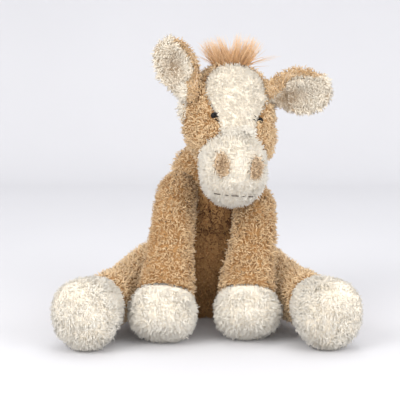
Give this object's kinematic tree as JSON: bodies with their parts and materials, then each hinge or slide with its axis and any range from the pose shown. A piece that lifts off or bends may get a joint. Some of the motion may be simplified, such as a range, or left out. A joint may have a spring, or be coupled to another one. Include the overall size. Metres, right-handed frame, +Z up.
{
  "type": "seated plush pony",
  "caption": "Seated stuffed pony in curly tan and cream pile cloth, with a head that turns and nods, floppy ears, swinging legs and a tail.",
  "frame": {"origin": "middle of the flat that the seated body rests on", "axes": "+Z up, the pony faces -Y, +X is its left side"},
  "size_m": [0.2774, 0.2682, 0.2733],
  "materials": {
    "tan_pile": "curly tan pile cloth",
    "cream_pile": "curly cream pile cloth",
    "long_hair": "long silky orange-tan hair",
    "wadding": "white fibre filling",
    "bag_cloth": "plain woven bag of pellets",
    "eye_black": "polished black",
    "washer_plastic": "moulded natural plastic",
    "thread": "dark brown embroidery thread"
  },
  "bodies": {
    "torso": {"torso_skin": "tan_pile", "torso_fill": "wadding", "seat_pellet_bag": "bag_cloth"},
    "neck": {"neck_skin": "tan_pile", "neck_fill": "wadding"},
    "head": {"head_side_left": "tan_pile", "head_side_right": "tan_pile", "blaze": "cream_pile", "muzzle_skin": "cream_pile", "head_fill": "wadding", "nostril_left": "tan_pile", "nostril_right": "tan_pile", "eye_left": "eye_black", "eye_right": "eye_black", "eye_washer_left": "washer_plastic", "eye_washer_right": "washer_plastic", "mouth_stitch": "thread", "forelock": "long_hair", "mane": "long_hair"},
    "ear_left": {"ear_back_left": "tan_pile", "ear_lining_left": "cream_pile"},
    "ear_right": {"ear_back_right": "tan_pile", "ear_lining_right": "cream_pile"},
    "front_leg_left": {"front_leg_left_sleeve": "tan_pile", "front_leg_left_hoof": "cream_pile", "front_leg_left_fill": "wadding"},
    "front_leg_right": {"front_leg_right_sleeve": "tan_pile", "front_leg_right_hoof": "cream_pile", "front_leg_right_fill": "wadding"},
    "hind_leg_left": {"hind_leg_left_sleeve": "tan_pile", "hind_leg_left_hoof": "cream_pile", "hind_leg_left_fill": "wadding"},
    "hind_leg_right": {"hind_leg_right_sleeve": "tan_pile", "hind_leg_right_hoof": "cream_pile", "hind_leg_right_fill": "wadding"},
    "tail": {"tail": "long_hair"}
  },
  "joints": [
    {"name": "neck_turn", "type": "hinge", "parent": "torso", "child": "neck", "pos_m": [0.01061, -0.01345, 0.14364], "axis": [0.1461, -0.5184, 0.8426], "range_deg": [-27, 27]},
    {"name": "head_nod", "type": "hinge", "parent": "neck", "child": "head", "pos_m": [0.01354, -0.02382, 0.16049], "axis": [-0.9994, -0.0349, 0], "range_deg": [-10, 25]},
    {"name": "ear_left_flop", "type": "hinge", "parent": "head", "child": "ear_left", "pos_m": [0.06238, -0.06622, 0.22469], "axis": [0, -1, 0], "range_deg": [-20, 40]},
    {"name": "ear_right_flop", "type": "hinge", "parent": "head", "child": "ear_right", "pos_m": [-0.0156, -0.07517, 0.22447], "axis": [0, 1, 0], "range_deg": [-50, 6]},
    {"name": "front_leg_left_swing", "type": "hinge", "parent": "torso", "child": "front_leg_left", "pos_m": [0.04538, -0.05146, 0.11517], "axis": [-1, 0, 0], "range_deg": [-3, 30]},
    {"name": "front_leg_right_swing", "type": "hinge", "parent": "torso", "child": "front_leg_right", "pos_m": [-0.02998, -0.05147, 0.12599], "axis": [-1, 0, 0], "range_deg": [-3, 30]},
    {"name": "hind_leg_left_swing", "type": "hinge", "parent": "torso", "child": "hind_leg_left", "pos_m": [0.0488, -0.02832, 0.03948], "axis": [-1, 0, 0], "range_deg": [-15, 35]},
    {"name": "hind_leg_right_swing", "type": "hinge", "parent": "torso", "child": "hind_leg_right", "pos_m": [-0.0488, -0.02832, 0.03948], "axis": [-1, 0, 0], "range_deg": [-15, 35]},
    {"name": "tail_swing", "type": "hinge", "parent": "torso", "child": "tail", "pos_m": [0.00171, 0.05788, 0.06683], "axis": [0, 0, 1], "range_deg": [-35, 35]}
  ]
}
